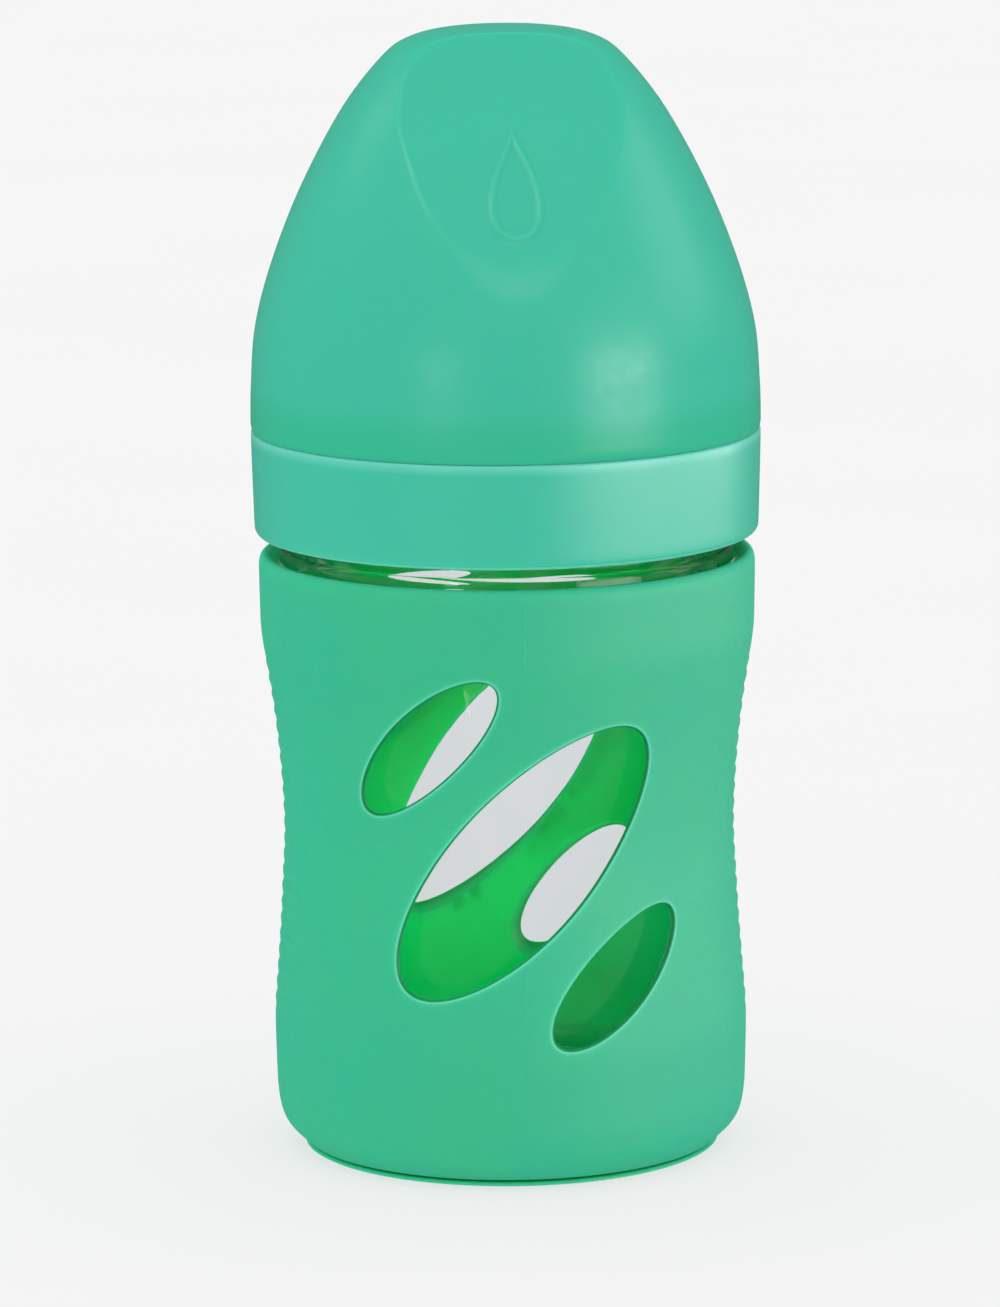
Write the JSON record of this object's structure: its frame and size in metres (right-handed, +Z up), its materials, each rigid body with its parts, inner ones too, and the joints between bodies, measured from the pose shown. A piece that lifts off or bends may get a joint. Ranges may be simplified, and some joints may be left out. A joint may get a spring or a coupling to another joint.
{
  "type": "baby bottle",
  "caption": "Wide-neck glass feeding bottle in a windowed silicone sleeve, with screw ring, silicone teat, mixing grid and domed travel cap.",
  "frame": {"origin": "centre of the sleeve's foot, on the surface the bottle stands on", "axes": "+Z up along the bottle's axis, -Y the front with the thumb scoop and the windows"},
  "size_m": [0.0682, 0.0682, 0.151],
  "materials": {
    "silicone_sleeve": "satin translucent silicone",
    "glass": "clear borosilicate glass",
    "ring_plastic": "satin translucent polypropylene",
    "cap_plastic": "satin translucent polypropylene",
    "teat_silicone": "clear silicone",
    "grid_plastic": "satin polypropylene"
  },
  "bodies": {
    "sleeve": {"silicone_sleeve": "silicone_sleeve"},
    "bottle": {"glass_bottle": "glass"},
    "grid": {"mixing_grid": "grid_plastic"},
    "teat": {"teat": "teat_silicone"},
    "ring": {"screw_ring": "ring_plastic"},
    "cap": {"travel_cap": "cap_plastic"}
  },
  "joints": [
    {"name": "bottle_lift", "type": "slide", "parent": "sleeve", "child": "bottle", "axis": [0, 0, 1], "range_m": [0, 0.085]},
    {"name": "grid_lift", "type": "slide", "parent": "bottle", "child": "grid", "axis": [0, 0, 1], "range_m": [0, 0.04]},
    {"name": "teat_rise", "type": "slide", "parent": "grid", "child": "teat", "axis": [0, 0, 1], "range_m": [0, 0.006]},
    {"name": "ring_turn", "type": "hinge", "parent": "teat", "child": "ring", "pos_m": [0, 0, 0.09], "axis": [0, 0, 1], "range_deg": [0, 540]},
    {"name": "cap_pull", "type": "slide", "parent": "ring", "child": "cap", "axis": [0, 0, 1], "range_m": [0, 0.06]}
  ],
  "couplings": [
    {"joint": "ring_turn", "follows": "teat_rise", "rad_per_m": 1570.8}
  ]
}
